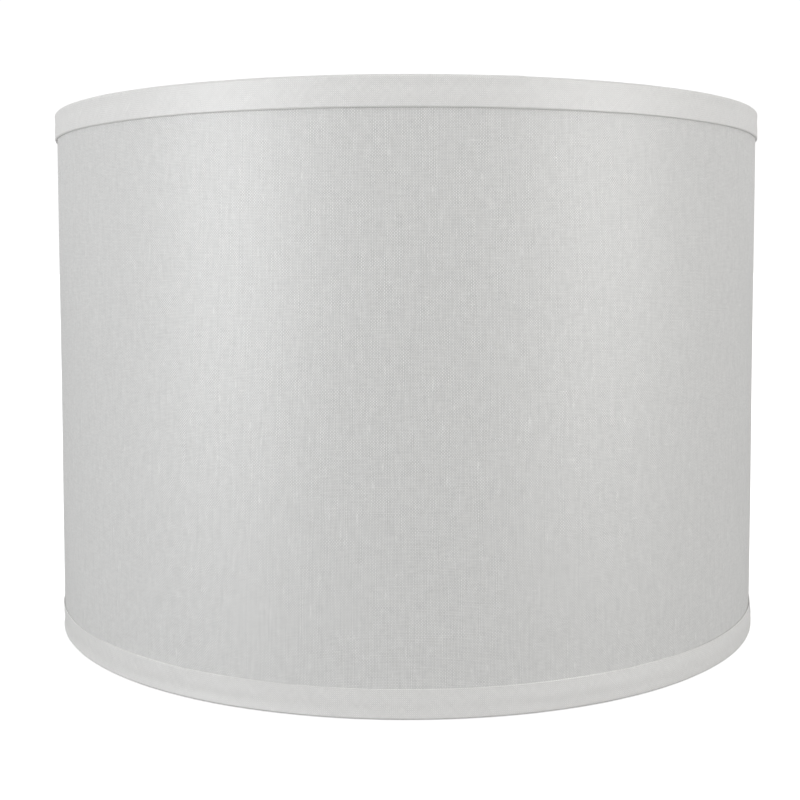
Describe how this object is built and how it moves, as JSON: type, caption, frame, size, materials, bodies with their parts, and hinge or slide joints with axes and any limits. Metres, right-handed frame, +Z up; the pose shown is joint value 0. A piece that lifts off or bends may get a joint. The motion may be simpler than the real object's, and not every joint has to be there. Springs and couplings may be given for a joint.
{
  "type": "drum lamp shade",
  "caption": "Hardback drum lamp shade of linen on a stiff lining, bound at both edges, carried by a wire spider with a hub that seats on a lamp's harp.",
  "frame": {"origin": "on the shade's axis, on the plane of its bottom edge", "axes": "+Z up along the shade's axis, +Y towards the seam at the back, +X to the right seen from the front"},
  "size_m": [0.3578, 0.3578, 0.254],
  "materials": {
    "linen": "plain-weave off-white linen with slubs, matt",
    "trim_linen": "bias-cut strip of the same linen, folded and glued, matt",
    "styrene": "white translucent styrene sheet, satin",
    "adhesive_tape": "clear double-sided tape",
    "ring_steel": "bright drawn wire",
    "satin_nickel": "satin nickel plate on steel"
  },
  "bodies": {
    "root": {"linen_cover": "linen", "styrene_backing": "styrene", "seam_tape": "adhesive_tape", "bottom_ring": "ring_steel", "top_ring": "ring_steel", "bottom_trim": "trim_linen", "top_trim": "trim_linen", "spider_arm_1": "satin_nickel", "spider_arm_2": "satin_nickel", "spider_arm_3": "satin_nickel", "hub_upper_shell": "satin_nickel", "hub_lower_shell": "satin_nickel", "hub_eyelet": "satin_nickel"}
  },
  "joints": []
}
